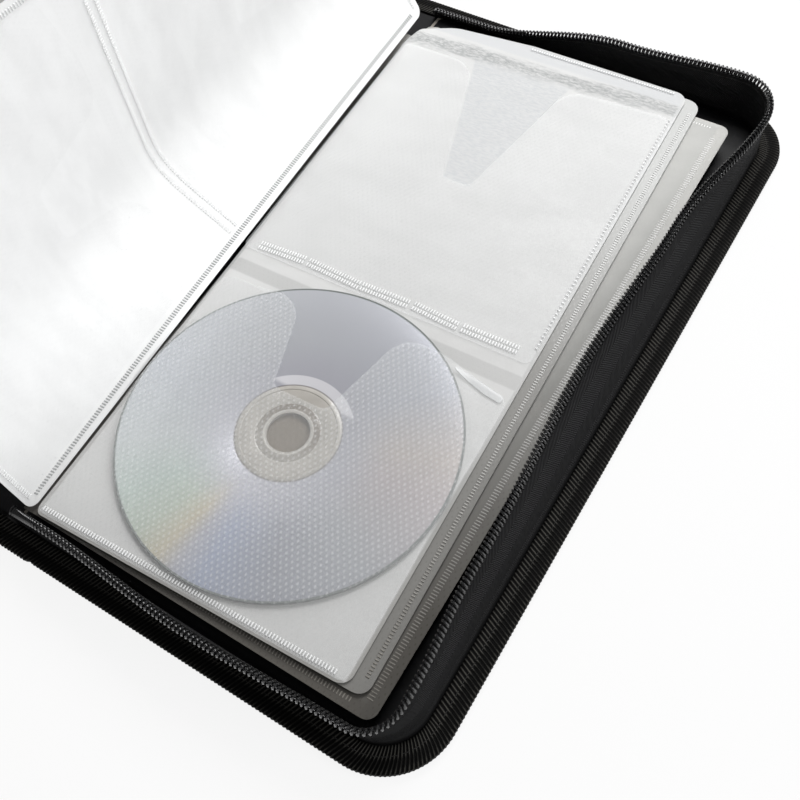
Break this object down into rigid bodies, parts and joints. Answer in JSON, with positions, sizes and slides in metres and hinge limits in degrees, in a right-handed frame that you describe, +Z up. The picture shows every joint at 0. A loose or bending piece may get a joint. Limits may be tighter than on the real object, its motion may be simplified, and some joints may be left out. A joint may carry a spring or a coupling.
{
  "type": "cd storage case",
  "caption": "Zip-round disc wallet lying open, with hinged padded covers, zip walls, clear pocket leaves and a disc in a pocket.",
  "frame": {"origin": "middle of the spine on the surface that the open case lies on", "axes": "+X from the spine towards the outer edge of the back half, +Y along the spine, +Z up"},
  "size_m": [0.3784, 0.3042, 0.1367],
  "materials": {
    "nylon": "black woven nylon",
    "lining": "thin smooth black lining",
    "ribbon": "ribbed black binding ribbon",
    "zip_tape": "black herringbone tape",
    "zip_coil": "shiny black nylon coil",
    "leaf": "white nonwoven with embossed dots",
    "film": "clear soft film",
    "board": "plain board",
    "disc": "mirrored disc",
    "slider": "black painted metal"
  },
  "bodies": {
    "back_half": {"back_cover_panel": "nylon", "back_stiffener_board": "board", "back_lining": "lining", "back_binding_ribbon": "ribbon", "back_zip_tape": "zip_tape", "back_zip_coil": "zip_coil", "right_leaf_stack": "leaf", "right_under_leaf": "leaf", "right_top_leaf": "leaf", "right_upper_pocket": "film", "right_lower_pocket": "film", "disc": "disc", "turning_leaf": "leaf"},
    "spine": {"spine_panel": "nylon", "spine_lining": "lining", "leaf_binding_strip": "leaf", "spine_ribbon_lower": "ribbon", "spine_ribbon_upper": "ribbon", "zip_slider": "slider"},
    "front_half": {"front_cover_panel": "nylon", "front_stiffener_board": "board", "front_lining": "lining", "front_binding_ribbon": "ribbon", "front_zip_tape": "zip_tape", "front_zip_coil": "zip_coil", "left_leaf_stack": "leaf", "left_under_leaf": "leaf", "left_top_leaf": "leaf", "left_upper_pocket": "film", "left_lower_pocket": "film"},
    "pull": {"zip_pull": "slider"}
  },
  "joints": [
    {"name": "back_cover_fold", "type": "hinge", "parent": "back_half", "child": "spine", "pos_m": [0.022, 0, 0.0029], "axis": [0, 1, 0], "range_deg": [0, 90], "deforming": ["turning_leaf"]},
    {"name": "front_cover_fold", "type": "hinge", "parent": "spine", "child": "front_half", "pos_m": [-0.022, 0, 0.0029], "axis": [0, 1, 0], "range_deg": [0, 90]},
    {"name": "pull_swing", "type": "hinge", "parent": "spine", "child": "pull", "pos_m": [0.0102, -0.1479, 0.0093], "axis": [0, 1, 0], "range_deg": [0, 120]}
  ]
}
